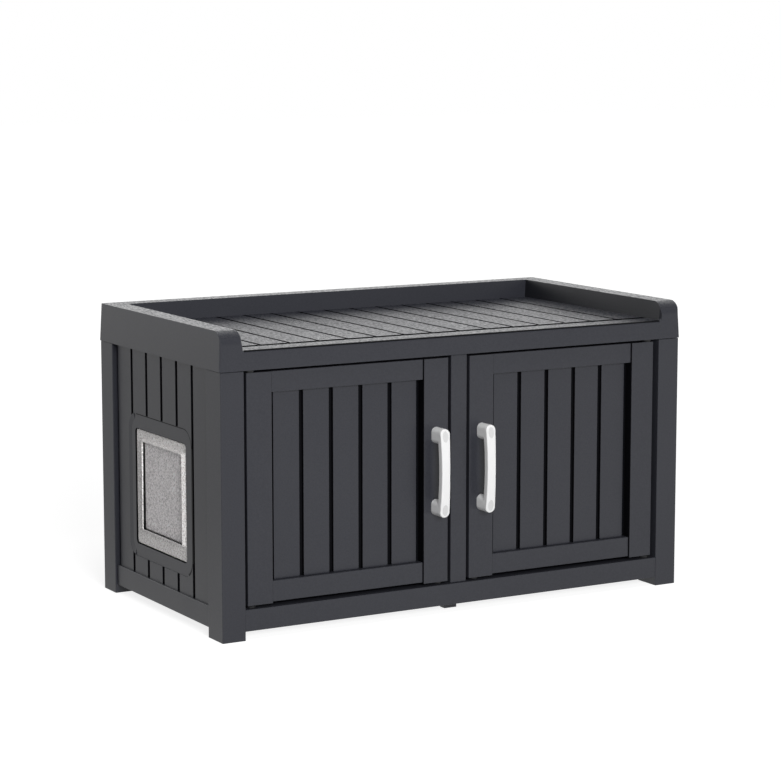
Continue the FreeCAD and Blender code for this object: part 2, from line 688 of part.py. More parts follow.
def door_pivots(side):
    x = mirrored(side, "pivot_x")
    low = cylinder(side + "_low_pin", "pin_radius", x, "pivot_y", "rail_top - bush_depth + pin_gap",
                   "door_low + pin_grip - rail_top + bush_depth - pin_gap")
    high = cylinder(side + "_high_pin", "pin_radius", x, "pivot_y", "door_high - pin_grip",
                    "seam + bush_depth - pin_gap - door_high + pin_grip")
    group(side + "_door_pins", [low, high])
    bushes = []
    for end, barrel_low, flange_low in (
            ("low", "rail_top - bush_depth", "rail_top"),
            ("high", "seam", "seam - bush_flange_height")):
        barrel = cylinder("%s_%s_barrel" % (side, end), "bush_radius", x, "pivot_y",
                          barrel_low, "bush_depth")
        flange = cylinder("%s_%s_flange" % (side, end), "bush_flange", x, "pivot_y",
                          flange_low, "bush_flange_height")
        bore = cylinder("%s_%s_bush_bore" % (side, end), "bush_bore", x, "pivot_y",
                        barrel_low + " - bush_depth", "3 * bush_depth")
        bush = document.addObject("Part::Cut", "%s_%s_bush" % (side, end))
        bush.Base = fused("%s_%s_bush_stock" % (side, end), [barrel, flange])
        bush.Tool = bore
        bushes.append(bush)
    group(side + "_hinge_bushes", bushes)
    glide = cylinder(side + "_glide_pad", "glide_radius", mirrored(side, "glide_x"),
                     "door_face + door_thickness / 2", "rail_top + glide_gap",
                     "door_low - rail_top - glide_gap")
    group(side + "_door_glide", [glide])
    for body, name, top in ((front_rail, "low_seat", "rail_top"),
                            (front_header, "high_seat", "seam + bush_depth")):
        seat = disc_outline(body, "XY_Plane", "%s_%s_outline" % (side, name), top, x, "pivot_y",
                            "bush_radius")
        pocket(body, "%s_%s" % (side, name), seat, "bush_depth")


for side in ("left", "right"):
    door(side)
    door_pivots(side)


# Centre stile: fixed between the doors, from the front rail up to the header
add_sizes(centre_stile_width=34.4)

centre_stile = new_body("centre_stile")
block(centre_stile, "centre_stile_stock", ("-centre_stile_width / 2", "centre_stile_width / 2"),
      ("door_face", "door_back"), ("rail_top", "seam"))
round_edges(centre_stile, "centre_stile_edges", "stile_edge", front_upright)


# Magnetic catches under the header, and the strike plates on the doors that they hold
add_sizes(
    catch_inner=30, catch_length=36, catch_set_back=36, catch_depth=14, catch_height=14,
    strike_length=28, strike_height=12, strike_thickness=1,
    catch_middle="=catch_inner + catch_length / 2")


def catch(side):
    case = new_body(side + "_catch")
    block(case, case.Name + "_case", span(side, "catch_inner", "catch_inner + catch_length"),
          ("front + catch_set_back", "front + catch_set_back + catch_depth"),
          ("seam - catch_height", "seam"))
    plate = new_body(side + "_strike_plate")
    block(plate, plate.Name + "_plate",
          span(side, "catch_middle - strike_length / 2", "catch_middle + strike_length / 2"),
          ("door_back", "door_back + strike_thickness"), ("door_high - strike_height", "door_high"))


catch("left")
catch("right")


# Bow handles: round-ended legs and a waisted grip, bowed forward, cut from two outlines
add_sizes(
    handle_length=168, handle_end_width=20.5, handle_waist_width=16, handle_leg=29,
    handle_end_reach=33, handle_bar=14, handle_inner_round=7, handle_screw_length=20,
    dimple_half_width=6.3, dimple_half_height=11.5, dimple_depth=0.8, dimple_offset=70,
    screw_head_radius=4, screw_head_height=2.4,
    handle_reach_middle="=handle_reach + door_set_back")


def arc(*points):
    return Part.Arc(*[FreeCAD.Vector(*point) for point in points]).toShape()


def line(start, end):
    return Part.makeLine(FreeCAD.Vector(*start), FreeCAD.Vector(*end))


def handle(side):
    half = value("handle_length") / 2
    ends = value("handle_end_width") / 2
    waist = value("handle_waist_width") / 2
    leg = half - value("handle_leg")
    near = value("handle_end_reach")
    far = value("handle_reach_middle")
    bar = value("handle_bar")
    depth = 2 * far
    profile = Part.Wire([
        line((0, 0, half), (0, -near, half)),
        arc((0, -near, half), (0, -far, 0), (0, -near, -half)),
        line((0, -near, -half), (0, 0, -half)),
        line((0, 0, -half), (0, 0, -leg)),
        line((0, 0, -leg), (0, bar - near, -leg)),
        arc((0, bar - near, -leg), (0, bar - far, 0), (0, bar - near, leg)),
        line((0, bar - near, leg), (0, 0, leg)),
        line((0, 0, leg), (0, 0, half))])
    side_view = Part.Face(profile).extrude(FreeCAD.Vector(depth, 0, 0))
    side_view.translate(FreeCAD.Vector(-far, 0, 0))
    inner = [edge for edge in side_view.Edges
             if runs_along(edge, X_LINE) and abs(edge.CenterOfMass.y - bar + near) < 0.01]
    side_view = side_view.makeFillet(value("handle_inner_round"), inner)
    turn = half - ends
    face = Part.Wire([
        arc((ends, 0, turn), (0, 0, half), (-ends, 0, turn)),
        arc((-ends, 0, turn), (-waist, 0, 0), (-ends, 0, -turn)),
        arc((-ends, 0, -turn), (0, 0, -half), (ends, 0, -turn)),
        arc((ends, 0, -turn), (waist, 0, 0), (ends, 0, turn))])
    front_view = Part.Face(face).extrude(FreeCAD.Vector(0, -depth, 0))
    grip = side_view.common(front_view)
    solid = grip.Solids[0]
    for sign in (-1, 1):
        height = value("dimple_offset")
        bow = (far - near) * (1 - (height / half) ** 2)
        floor = value("dimple_depth") - near - bow
        middle = FreeCAD.Vector(0, floor, sign * height)
        top = middle + FreeCAD.Vector(0, 0, value("dimple_half_height"))
        side_point = middle + FreeCAD.Vector(value("dimple_half_width"), 0, 0)
        oval = Part.Ellipse(top, side_point, middle).toShape()
        dimple = Part.Face(Part.Wire([oval])).extrude(FreeCAD.Vector(0, -far, 0))
        solid = solid.cut(dimple)
        bore = Part.makeCylinder(value("screw_hole"), value("handle_screw_length"),
                                 FreeCAD.Vector(0, 0, sign * value("handle_screw_spread") / 2),
                                 FreeCAD.Vector(0, -1, 0))
        solid = solid.cut(bore).Solids[0]
    feature = document.addObject("Part::Feature", side + "_handle")
    feature.Shape = solid
    x = value("handle_x") * (1 if side == "right" else -1)
    place = FreeCAD.Vector(x, value("door_face"), value("handle_middle"))
    feature.Placement = FreeCAD.Placement(place, FreeCAD.Rotation())
    feature.Label = side + "_handle"
    pieces[feature.Label] = feature


def handle_screws(side):
    x = mirrored(side, "handle_x")
    screws = []
    for end, sign in (("low", "-"), ("high", "+")):
        height = "handle_middle %s handle_screw_spread / 2" % sign
        shank = cylinder("%s_%s_shank" % (side, end), "handle_screw_radius", x,
                         "door_face - handle_screw_length + pin_gap", height,
                         "handle_screw_length - pin_gap + door_thickness", "Y")
        head = cylinder("%s_%s_head" % (side, end), "screw_head_radius", x, "door_back", height,
                        "screw_head_height", "Y")
        screws.append(fused("%s_%s_screw" % (side, end), [shank, head]))
    group(side + "_handle_screws", screws)


for side in ("left", "right"):
    handle(side)
    handle_screws(side)


# Lid: one drafted moulding with a raised rim, a planked deck and ribs underneath
add_sizes(
    lid_gap=1, lid_draft=2.4, lid_corner=4.5, lid_wall=4, rim_width=41, back_rim_width=38.5,
    rim_draft=9, rim_front_round=26, rim_end_margin=8, rim_inner_round=4.5, lip_round=5,
    deck_groove_width=5, cross_groove_width=8, deck_groove_depth=2.6, deck_pitch=60.2,
    strip_groove=56, groove_end_gap=1, rim_roof=4, channel_inner=37, lid_rib=4, lid_rib_low=505,
    plank_groove_count=14, lid_rib_count=8, lip_lean=0.5, corner_reach=5,
    lid_low="=seam + lid_gap", lid_height="=rim_top - lid_low",
    lid_bottom_x="=half_width + lid_overhang", lid_bottom_front="=front - lid_overhang",
    lid_bottom_back="=back + lid_overhang",
    rim_inner_x="=half_width - rim_width", rim_inner_back="=back - back_rim_width",
    groove_row="=front + strip_groove", rim_depth="=rim_top - deck_top",
    groove_low="=deck_top - deck_groove_depth", roof_low="=rim_top - rim_roof",
    lip_face="=front - lip_lean", rim_foot_x="=rim_inner_x - 5.7",
    first_plank_groove="=-(plank_groove_count - 1) / 2 * deck_pitch",
    first_lid_rib="=-(lid_rib_count - 1) * deck_pitch")


def corner_of_lid(edge):
    """True for the four edges that run up the outer corners."""
    return edge.BoundBox.ZLength > value("lid_height") / 2


lid = new_body("lid_tray")
lid_outline = outline(lid, "XY_Plane", "lid_outline", "lid_low", corners_of(
    ("-lid_bottom_x", "lid_bottom_x"), ("lid_bottom_front", "lid_bottom_back")))
lid_stock = pad(lid, "lid_stock", lid_outline, "lid_height")
bind(lid_stock, "TaperAngle", "-lid_draft")
round_edges(lid, "lid_corners", "lid_corner", corner_of_lid)
deck_outline = outline(lid, "XY_Plane", "deck_outline", "rim_top", corners_of(
    ("-rim_inner_x", "rim_inner_x"), ("front - rim_width", "rim_inner_back")))
deck_recess = pocket(lid, "deck_recess", deck_outline, "rim_depth")
bind(deck_recess, "TaperAngle", "-rim_draft")


def end_of_rim(edge):
    """True for the two edges that run up the inner front corners of the side rims."""
    middle = edge.CenterOfMass
    reach = value("corner_reach")
    upright = abs(edge.BoundBox.ZLength - value("rim_depth")) < reach / 10
    return upright and middle.y < value("front") + reach and abs(middle.x) < value("rim_inner_x") + reach


def quarter_outline(body, name, face, top, radius, margin):
    """What is cut off a corner to leave a quarter round between a front face and a top."""
    sketch = new_sketch(body, "YZ_Plane", name, "0")
    at_face = value(face)
    at_top = value(top)
    turn = value(radius)
    past = value(margin)
    points = [FreeCAD.Vector(at_face, at_top - turn, 0),
              FreeCAD.Vector(at_face - past, at_top - turn, 0),
              FreeCAD.Vector(at_face - past, at_top + past, 0),
              FreeCAD.Vector(at_face + turn, at_top + past, 0),
              FreeCAD.Vector(at_face + turn, at_top, 0)]
    for start, end in zip(points, points[1:]):
        sketch.addGeometry(Part.LineSegment(start, end))
    circle = Part.Circle(FreeCAD.Vector(at_face + turn, at_top - turn, 0), Z_LINE, turn)
    sketch.addGeometry(Part.ArcOfCircle(circle, math.pi / 2, math.pi))
    for i in range(3):
        sketch.addConstraint(Sketcher.Constraint("Coincident", i, 2, i + 1, 1))
    sketch.addConstraint(Sketcher.Constraint("Coincident", 3, 2, 4, 1))
    sketch.addConstraint(Sketcher.Constraint("Coincident", 4, 2, 0, 1))
    texts = [(face, "%s - %s" % (top, radius)), ("%s - %s" % (face, margin), "%s - %s" % (top, radius)),
             ("%s - %s" % (face, margin), "%s + %s" % (top, margin)),
             ("%s + %s" % (face, radius), "%s + %s" % (top, margin))]
    for i, (across, up) in enumerate(texts):
        place_point(sketch, i, 1, across, up, points[i])
    place_point(sketch, 4, 3, "%s + %s" % (face, radius), "%s - %s" % (top, radius),
                FreeCAD.Vector(at_face + turn, at_top - turn, 0))
    sketch.addConstraint(Sketcher.Constraint("Vertical", 3))
    return sketch


round_edges(lid, "rim_inner_corners", "rim_inner_round", end_of_rim)
lip_cut = quarter_outline(lid, "lip_outline", "lip_face", "deck_top", "lip_round", "lip_round")
deck_lip = pocket(lid, "deck_lip", lip_cut, "2 * rim_foot_x")
deck_lip.Midplane = True
rim_end_cut = quarter_outline(lid, "rim_end_outline", "front", "rim_top", "rim_front_round",
                              "rim_end_margin")
rim_ends = pocket(lid, "rim_ends", rim_end_cut, "2 * (lid_bottom_x + rim_end_margin)")
rim_ends.Midplane = True
recess(lid, "cross_groove", ("-rim_inner_x", "rim_inner_x"),
       ("groove_row - cross_groove_width / 2", "groove_row + cross_groove_width / 2"),
       ("groove_low", "deck_top"))
plank_groove = recess(
    lid, "plank_groove",
    ("first_plank_groove - deck_groove_width / 2", "first_plank_groove + deck_groove_width / 2"),
    ("groove_row", "rim_inner_back - groove_end_gap"), ("groove_low", "deck_top"))
repeat(lid, plank_groove, "X_Axis", "plank_groove_count", "deck_pitch")
channel_front = "front + rim_front_round + rim_roof"
channel_x = ("half_width - channel_inner + lid_wall / 2", "half_width - lid_wall")
recess(lid, "lid_hollow", ("-half_width + lid_wall / 2", "half_width - lid_wall / 2"),
       ("front + lid_wall / 2", "back - lid_wall / 2"), ("lid_low", "header_top"))
for side in ("left", "right"):
    recess(lid, side + "_channel", span(side, channel_x[0], channel_x[1]),
           (channel_front, "back - lid_wall"), ("lid_low", "roof_low"))
recess(lid, "back_channel", ("-half_width + lid_wall", "half_width - lid_wall"),
       ("back - channel_inner + lid_wall / 2", "back - lid_wall"), ("lid_low", "roof_low"))
lid_rib_bar = block(
    lid, "lid_rib_bar", ("first_lid_rib - lid_rib / 2", "first_lid_rib + lid_rib / 2"),
    ("front + header_set_back + front_header_depth + lid_rib",
     "back - back_header_set_back - back_header_depth - lid_rib"),
    ("lid_rib_low", "header_top"))
repeat(lid, lid_rib_bar, "X_Axis", "lid_rib_count", "2 * deck_pitch")


# Every feature is sound and every cut removes material, then each piece gets its own file
document.recompute()
for thing in document.Objects:
    bad = [state for state in thing.State if state in ("Invalid", "Error")]
    if bad:
        raise RuntimeError("%s is %s" % (thing.Name, bad))
    if thing.TypeId == "PartDesign::Pocket":
        if thing.BaseFeature.Shape.Volume - thing.Shape.Volume < 1:
            raise RuntimeError("%s cuts nothing" % thing.Name)
for label, piece in pieces.items():
    shape = piece.Shape
    if shape.isNull() or not shape.isValid() or not shape.Solids:
        raise RuntimeError("%s has no sound shape" % label)
for label, piece in pieces.items():
    piece.Shape.exportStep("parts/%s.step" % label)
    box = piece.Shape.BoundBox
    print("%-24s %d solids, %8.0f mm3, X %.1f %.1f Y %.1f %.1f Z %.1f %.1f" % (
        label, len(piece.Shape.Solids), piece.Shape.Volume, box.XMin, box.XMax, box.YMin,
        box.YMax, box.ZMin, box.ZMax))
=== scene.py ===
import bmesh
import bpy
import math
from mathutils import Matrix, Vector


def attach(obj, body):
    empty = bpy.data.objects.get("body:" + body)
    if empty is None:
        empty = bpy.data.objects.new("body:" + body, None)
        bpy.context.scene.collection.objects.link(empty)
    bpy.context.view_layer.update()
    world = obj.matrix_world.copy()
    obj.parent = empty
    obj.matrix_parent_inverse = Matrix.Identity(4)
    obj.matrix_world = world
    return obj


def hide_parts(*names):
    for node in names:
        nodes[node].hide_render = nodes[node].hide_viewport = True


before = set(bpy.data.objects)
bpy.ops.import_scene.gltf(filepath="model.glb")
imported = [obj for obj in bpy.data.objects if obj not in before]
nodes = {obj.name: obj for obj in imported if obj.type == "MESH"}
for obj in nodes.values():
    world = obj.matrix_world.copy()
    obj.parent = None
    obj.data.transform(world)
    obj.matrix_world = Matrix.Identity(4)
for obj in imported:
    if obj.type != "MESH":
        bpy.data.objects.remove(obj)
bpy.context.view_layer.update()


# Camera
# A long lens stands in front of the left corner, a little above the lid, and looks down at
# the cabinet. Its place and angles were solved from the edges of the posts and the rim.
IMAGE_WIDTH = 781
FOCAL_PIXELS = 2549.2
SENSOR_WIDTH = 36.0
CAMERA_PLACE = Vector((-2.46666, -4.27219, 1.12213))
CAMERA_YAW = 0.52208
CAMERA_PITCH = 0.14684

camera_data = bpy.data.cameras.new("camera")
camera_data.sensor_width = SENSOR_WIDTH
camera_data.lens = FOCAL_PIXELS * SENSOR_WIDTH / IMAGE_WIDTH
camera_data.clip_end = 100.0
camera = bpy.data.objects.new("camera", camera_data)
camera.location = CAMERA_PLACE
camera.rotation_euler = (math.pi / 2 - CAMERA_PITCH, 0.0, -CAMERA_YAW)
bpy.context.scene.collection.objects.link(camera)
bpy.context.scene.camera = camera
bpy.context.scene.view_settings.view_transform = "Standard"


# Studio
# A white sweep lit by one broad lamp in front, a little to the left, and a weak one above.
# The plastic mirrors the pale wall behind it where it is seen at a low angle.
def linear(code):
    """Linear colour of an sRGB hex code such as "c8c9cb"."""
    channels = [int(code[i:i + 2], 16) / 255 for i in (0, 2, 4)]
    return tuple(c / 12.92 if c <= 0.04045 else ((c + 0.055) / 1.055) ** 2.4 for c in channels) + (1.0,)


def add_node(tree, kind, settings=(), **links):
    """Add a node, give its properties and inputs their values, and link the inputs named in links."""
    node = tree.nodes.new(kind)
    for name, setting in dict(settings).items():
        if name in node.inputs:
            node.inputs[name].default_value = setting
        else:
            setattr(node, name, setting)
    for name, source in links.items():
        tree.links.new(source, node.inputs[name.replace("_", " ")])
    return node


def new_material(name):
    """An empty node material and its tree."""
    material = bpy.data.materials.new(name)
    material.use_nodes = True
    material.node_tree.nodes.clear()
    return material, material.node_tree


FLOOR_HALF = 20.0
FLOOR_WHITE_NEAR = 0.82
FLOOR_WHITE_FAR = 1.0
FLOOR_COLOUR = "b4b4b4"
FLOOR_MIRRORED_FRONT = 0.86
FLOOR_MIRRORED_BACK = 0.56
ROOM_LIGHT = 0.14
FRONT_WALL = 0.36
BACK_WALL = 1.5

world = bpy.data.worlds.new("white_studio")
world.use_nodes = True
bpy.context.scene.world = world
room = world.node_tree
room.nodes.clear()
rays = add_node(room, "ShaderNodeLightPath")
heading = add_node(room, "ShaderNodeTexCoord").outputs["Generated"]
way = add_node(room, "ShaderNodeSeparateXYZ", Vector=heading)
wall = add_node(room, "ShaderNodeMapRange", {"From Min": -0.4, "From Max": 0.4, "To Min": FRONT_WALL,
                                             "To Max": BACK_WALL}, Value=way.outputs["Y"])
mirrored = add_node(room, "ShaderNodeMix", {"A": ROOM_LIGHT}, Factor=rays.outputs["Is Glossy Ray"],
                    B=wall.outputs[0])
seen = add_node(room, "ShaderNodeMath", {"operation": "MAXIMUM"})
room.links.new(rays.outputs["Is Camera Ray"], seen.inputs[0])
room.links.new(rays.outputs["Is Transmission Ray"], seen.inputs[1])
strength = add_node(room, "ShaderNodeMix", {"B": 1.0}, Factor=seen.outputs[0], A=mirrored.outputs[0])
backdrop = add_node(room, "ShaderNodeBackground", {"Color": (1.0, 1.0, 1.0, 1.0)},
                    Strength=strength.outputs[0])
add_node(room, "ShaderNodeOutputWorld", Surface=backdrop.outputs[0])

floor_shape = bmesh.new()
bmesh.ops.create_grid(floor_shape, x_segments=1, y_segments=1, size=FLOOR_HALF)
floor_mesh = bpy.data.meshes.new("floor")
floor_shape.to_mesh(floor_mesh)
floor_shape.free()
floor = bpy.data.objects.new("floor", floor_mesh)
bpy.context.scene.collection.objects.link(floor)
floor_material, floor_tree = new_material("matt_white_paper_sweep")
floor_rays = add_node(floor_tree, "ShaderNodeLightPath")
paper = add_node(floor_tree, "ShaderNodeBsdfDiffuse", {"Color": linear(FLOOR_COLOUR)})
spot = add_node(floor_tree, "ShaderNodeTexCoord").outputs["Object"]
reach = add_node(floor_tree, "ShaderNodeVectorMath", {"operation": "LENGTH"})
floor_tree.links.new(spot, reach.inputs[0])
whiteness = add_node(floor_tree, "ShaderNodeMapRange", {"From Min": 0.9, "From Max": 3.0,
                                                        "To Min": FLOOR_WHITE_NEAR,
                                                        "To Max": FLOOR_WHITE_FAR},
                     Value=reach.outputs["Value"])
glow = add_node(floor_tree, "ShaderNodeEmission", Strength=whiteness.outputs[0])
depth = add_node(floor_tree, "ShaderNodeSeparateXYZ", Vector=spot)
mirrored_white = add_node(floor_tree, "ShaderNodeMapRange", {"From Min": -1.0, "From Max": 1.0,
                                                             "To Min": FLOOR_MIRRORED_FRONT,
                                                             "To Max": FLOOR_MIRRORED_BACK},
                          Value=depth.outputs["Y"])
sheen = add_node(floor_tree, "ShaderNodeEmission", Strength=mirrored_white.outputs[0])
white_paper = add_node(floor_tree, "ShaderNodeAddShader")
floor_tree.links.new(paper.outputs[0], white_paper.inputs[0])
floor_tree.links.new(glow.outputs[0], white_paper.inputs[1])
unseen = add_node(floor_tree, "ShaderNodeMixShader", Fac=floor_rays.outputs["Is Glossy Ray"])
floor_tree.links.new(paper.outputs[0], unseen.inputs[1])
floor_tree.links.new(sheen.outputs[0], unseen.inputs[2])
floor_face = add_node(floor_tree, "ShaderNodeMixShader", Fac=floor_rays.outputs["Is Camera Ray"])
floor_tree.links.new(unseen.outputs[0], floor_face.inputs[1])
floor_tree.links.new(white_paper.outputs[0], floor_face.inputs[2])
add_node(floor_tree, "ShaderNodeOutputMaterial", Surface=floor_face.outputs[0])
floor_mesh.materials.append(floor_material)


def add_lamp(name, place, target, width, height, watts):
    """A rectangular soft lamp that faces a point."""
    data = bpy.data.lights.new(name, "AREA")
    data.shape = "RECTANGLE"
    data.size = width
    data.size_y = height
    data.energy = watts
    lamp = bpy.data.objects.new(name, data)
    lamp.location = place
    lamp.rotation_euler = (Vector(target) - Vector(place)).to_track_quat("-Z", "Y").to_euler()
    bpy.context.scene.collection.objects.link(lamp)
    lamp.visible_glossy = False
    return lamp


add_lamp("front_softbox", (-1.35, -4.85, 1.7), (0.0, 0.0, 0.3), 2.0, 1.6, 240.0)
add_lamp("top_softbox", (0.0, -0.6, 3.2), (0.0, 0.0, 0.5), 2.0, 2.0, 30.0)


# Corner posts
# Four box-section uprights of dark polypropylene, injection moulded with a leather grain and
# slotted for the panels. Their edges are broken where the halves of the mould part.
GRAIN = 0.0028
GRIT = 0.0011
POST_EDGE = 0.0009
SAME_POINT = 0.00001
FLAT_ANGLE = 0.6
SHARP_ANGLE = 25
SMOOTH_ANGLE = 35


def grained_resin(name, colour, roughness, depth, speckle, grain=GRAIN, stretch=(1.0, 1.0, 1.0),
                  shade=0.0, pits=0.0):
    """Moulded plastic with a pebbled skin. Depth is the relief, speckle how far the tone varies,
    shade how much darker the painted shade makes the faces marked as shaded on the mesh, and pits
    how dull the low spots are."""
    material, tree = new_material(name)
    place = add_node(tree, "ShaderNodeTexCoord").outputs["Object"]
    drawn = add_node(tree, "ShaderNodeMapping", {"Scale": stretch}, Vector=place).outputs[0]
    pebbles = add_node(tree, "ShaderNodeTexNoise", {"Scale": 1 / grain, "Detail": 1.0},
                       Vector=drawn).outputs["Fac"]
    grit = add_node(tree, "ShaderNodeTexNoise", {"Scale": 1 / GRIT, "Detail": 1.0},
                    Vector=drawn).outputs["Fac"]
    cloud = add_node(tree, "ShaderNodeTexNoise", {"Scale": 9.0, "Detail": 3.0}, Vector=place).outputs["Fac"]
    coarse = add_node(tree, "ShaderNodeBump", {"Strength": 1.0, "Distance": depth}, Height=pebbles)
    fine = add_node(tree, "ShaderNodeBump", {"Strength": 0.5, "Distance": depth / 3}, Height=grit,
                    Normal=coarse.outputs[0])
    tone = add_node(tree, "ShaderNodeMapRange", {"From Min": 0.3, "From Max": 0.7, "To Min": 1 - speckle,
                                                 "To Max": 1 + speckle}, Value=pebbles)
    # Painted shade: the faces marked on the mesh are darkened in colour and gloss by up to shade.
    painted_shade = add_node(tree, "ShaderNodeAttribute", {"attribute_name": "painted_shade"}).outputs["Fac"]
    lit = add_node(tree, "ShaderNodeMapRange", {"To Min": 1.0, "To Max": 1 - shade}, Value=painted_shade)
    level = add_node(tree, "ShaderNodeMath", {"operation": "MULTIPLY"})
    tree.links.new(tone.outputs[0], level.inputs[0])
    tree.links.new(lit.outputs[0], level.inputs[1])
    tint = add_node(tree, "ShaderNodeVectorMath", {"operation": "SCALE"}, Scale=level.outputs[0])
    tint.inputs[0].default_value = linear(colour)[:3]
    gloss = add_node(tree, "ShaderNodeMath", {"operation": "MULTIPLY"})
    tree.links.new(level.outputs[0], gloss.inputs[0])
    gloss.inputs[1].default_value = 0.5
    rough = add_node(tree, "ShaderNodeMapRange", {"From Min": 0.3, "From Max": 0.7,
                                                  "To Min": roughness - 0.03, "To Max": roughness + 0.03},
                     Value=cloud)
    shader = add_node(tree, "ShaderNodeBsdfPrincipled", {"IOR": 1.5}, Roughness=rough.outputs[0],
                      Normal=fine.outputs[0], Specular_IOR_Level=gloss.outputs[0])
    tree.links.new(tint.outputs[0], shader.inputs["Base Color"])
    dull = add_node(tree, "ShaderNodeBsdfDiffuse", Color=tint.outputs[0])
    low_spots = add_node(tree, "ShaderNodeMapRange", {"From Min": 0.45, "From Max": 0.57, "To Max": pits},
                         Value=pebbles)
    surface = add_node(tree, "ShaderNodeMixShader", Fac=low_spots.outputs[0])
    tree.links.new(shader.outputs[0], surface.inputs[1])
    tree.links.new(dull.outputs[0], surface.inputs[2])
    add_node(tree, "ShaderNodeOutputMaterial", Surface=surface.outputs[0])
    return material


def moulded(name, shape, body, material):
    """A piece from a finished shape, with its faces smooth over all but its sharp edges."""
    for face in shape.faces:
        face.smooth = True
    mesh = bpy.data.meshes.new(name)
    shape.to_mesh(mesh)
    shape.free()
    mesh.set_sharp_from_angle(angle=math.radians(SMOOTH_ANGLE))
    mesh.materials.append(material)
    piece = bpy.data.objects.new(name, mesh)
    bpy.context.scene.collection.objects.link(piece)
    shading = piece.modifiers.new("even_shading", "WEIGHTED_NORMAL")
    shading.keep_sharp = True
    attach(piece, body)
    return piece


def in_the_open(middle):
    """No shade at all."""
    return 0.0


def mark_painted_shade(shape, painted_shade):
    """Write to a face attribute how much painted shade darkens each face, which the function passed in
    gives from the face's middle: 0 in the open and 1 inside a groove."""
    layer = shape.loops.layers.float.new("painted_shade")
    for face in shape.faces:
        shade = painted_shade(face.calc_center_median())
        for loop in face.loops:
            loop[layer] = shade


def skin(node, body, material, edge, painted_shade=in_the_open, change=None):
    """The node's surface with its sharp edges rounded by a width of edge, or by less on all of
    them where a short edge leaves no room. Change alters the shape before that, and the shade
    function gives each face its painted shade."""
    shape = bmesh.new()
    shape.from_mesh(nodes[node].data)
    bmesh.ops.remove_doubles(shape, verts=shape.verts, dist=SAME_POINT)
    bmesh.ops.dissolve_limit(shape, angle_limit=math.radians(FLAT_ANGLE), use_dissolve_boundaries=False,
                             verts=shape.verts, edges=shape.edges)
    if change:
        change(shape)
    sharp = [e for e in shape.edges if e.is_manifold and e.calc_face_angle() > math.radians(SHARP_ANGLE)]
    bmesh.ops.bevel(shape, geom=sharp, offset=edge, segments=2, profile=0.5, affect="EDGES",
                    material=-1, clamp_overlap=True)
    mark_painted_shade(shape, painted_shade)
    piece = moulded(node + "_skin", shape, body, material)
    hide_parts(node)
    return piece


# A soft satin skin, charcoal with a little blue, whose pebbles show only at a low angle. The
# grain is drawn at 2.8 mm, coarser than the real 1 mm, so that it does not fall below a pixel.
# Faces marked as shaded on the mesh get a painted shade up to 85 % darker.
charcoal_resin = grained_resin("leather_grained_polypropylene_charcoal", "2d2e34", 0.34, 0.00005, 0.05,
                               shade=0.85)
for post in ("post_front_left", "post_front_right", "post_back_left", "post_back_right"):
    skin(post, "cabinet", charcoal_resin, POST_EDGE)


# Bottom rails, floor and centre foot
# Ribbed channels between the posts, a floor plate that lies on their ledges and a short leg
# in the middle, all moulded of the same charcoal polypropylene.
RAIL_EDGE = 0.0008

for rail in ("front_rail", "back_rail", "left_rail", "right_rail", "floor_panel", "centre_foot"):
    skin(rail, "cabinet", charcoal_resin, RAIL_EDGE)


# Headers
# Two ribbed beams under the lid that tie the posts and take the doors' upper pivots. Plain
# moulded polypropylene, hidden once the lid is on.
for header in ("front_header", "back_header"):
    skin(header, "cabinet", charcoal_resin, RAIL_EDGE)


# Side and back panels
# Moulded sheets with raised planks, slid into the posts from above. The grooves between the
# planks are narrow and deep, and they are painted in full shade, as hardly any light comes back
# out of them.
PANEL_EDGE = 0.0008
PLANK_FACE = 0.492
PLANK_BACK = 0.26975
GROOVE_START = 0.0003
SURROUND_Y = (-0.1105, 0.16775)
SURROUND_Z = (0.0903, 0.3682)
SURROUND_RADIUS = 0.032
SURROUND_FACE = 0.4905
STEP_REACH = 0.0014
SHADED_FRONT = -0.109
SHADED_TOP_Y = 0.150
SHADED_TOP_Z = 0.331
SHADED_FOOT_Y = -0.080
SHADED_FOOT_Z = 0.122
SEAT_Y = (-0.08325, 0.14155)
SEAT_Z = (0.1147, 0.3396)
SEAT_RADIUS = 0.009
SEAT_REACH = 0.0008
SEAT_START = 0.0004
GROOVE_DEPTH = 0.009
BACK_GROOVE_DEPTH = 0.008
CORNER_STEPS = 10
# The strips on the surround, and how wide the painted shadow strip is.
STRIP_FRONT = -0.4906
STRIP_BACK = -0.4903
SHADOW_WIDTH = 0.0024
SHADOW_FRONT_WIDTH = 0.0046
SWELL_WIDTH = 0.012


def beyond(middle, y, z, radius):
    """How far a point lies outside a round-cornered outline in Y and Z, negative inside."""
    across = max(y[0] + radius - middle.y, middle.y - y[1] + radius)
    up = max(z[0] + radius - middle.z, middle.z - z[1] + radius)
    return math.hypot(max(across, 0.0), max(up, 0.0)) + min(max(across, up), 0.0) - radius


def side_shade(middle):
    """Painted shade of a side panel: full in the grooves, round the flap's frame in its seat, and
    on the surround's step where a groove runs along it."""
    out = abs(middle.x)
    if not PLANK_FACE - GROOVE_DEPTH < out < PLANK_FACE - GROOVE_START:
        return 0.0
    if middle.x > 0:
        return 1.0
    if beyond(middle, SEAT_Y, SEAT_Z, SEAT_RADIUS) < SEAT_REACH:
        return 1.0 if out < SURROUND_FACE - SEAT_START else 0.0
    edge = beyond(middle, SURROUND_Y, SURROUND_Z, SURROUND_RADIUS)
    if edge > STEP_REACH:
        return 1.0
    in_front = middle.y < SHADED_FRONT
    on_top = middle.z > SHADED_TOP_Z and middle.y < SHADED_TOP_Y
    at_foot = middle.z < SHADED_FOOT_Z and middle.y < SHADED_FOOT_Y
    return 1.0 if in_front or edge > -STEP_REACH and (on_top or at_foot) else 0.0


def back_shade(middle):
    """Full painted shade inside the grooves of the back panel."""
    return 1.0 if PLANK_BACK - BACK_GROOVE_DEPTH < middle.y < PLANK_BACK - GROOVE_START else 0.0


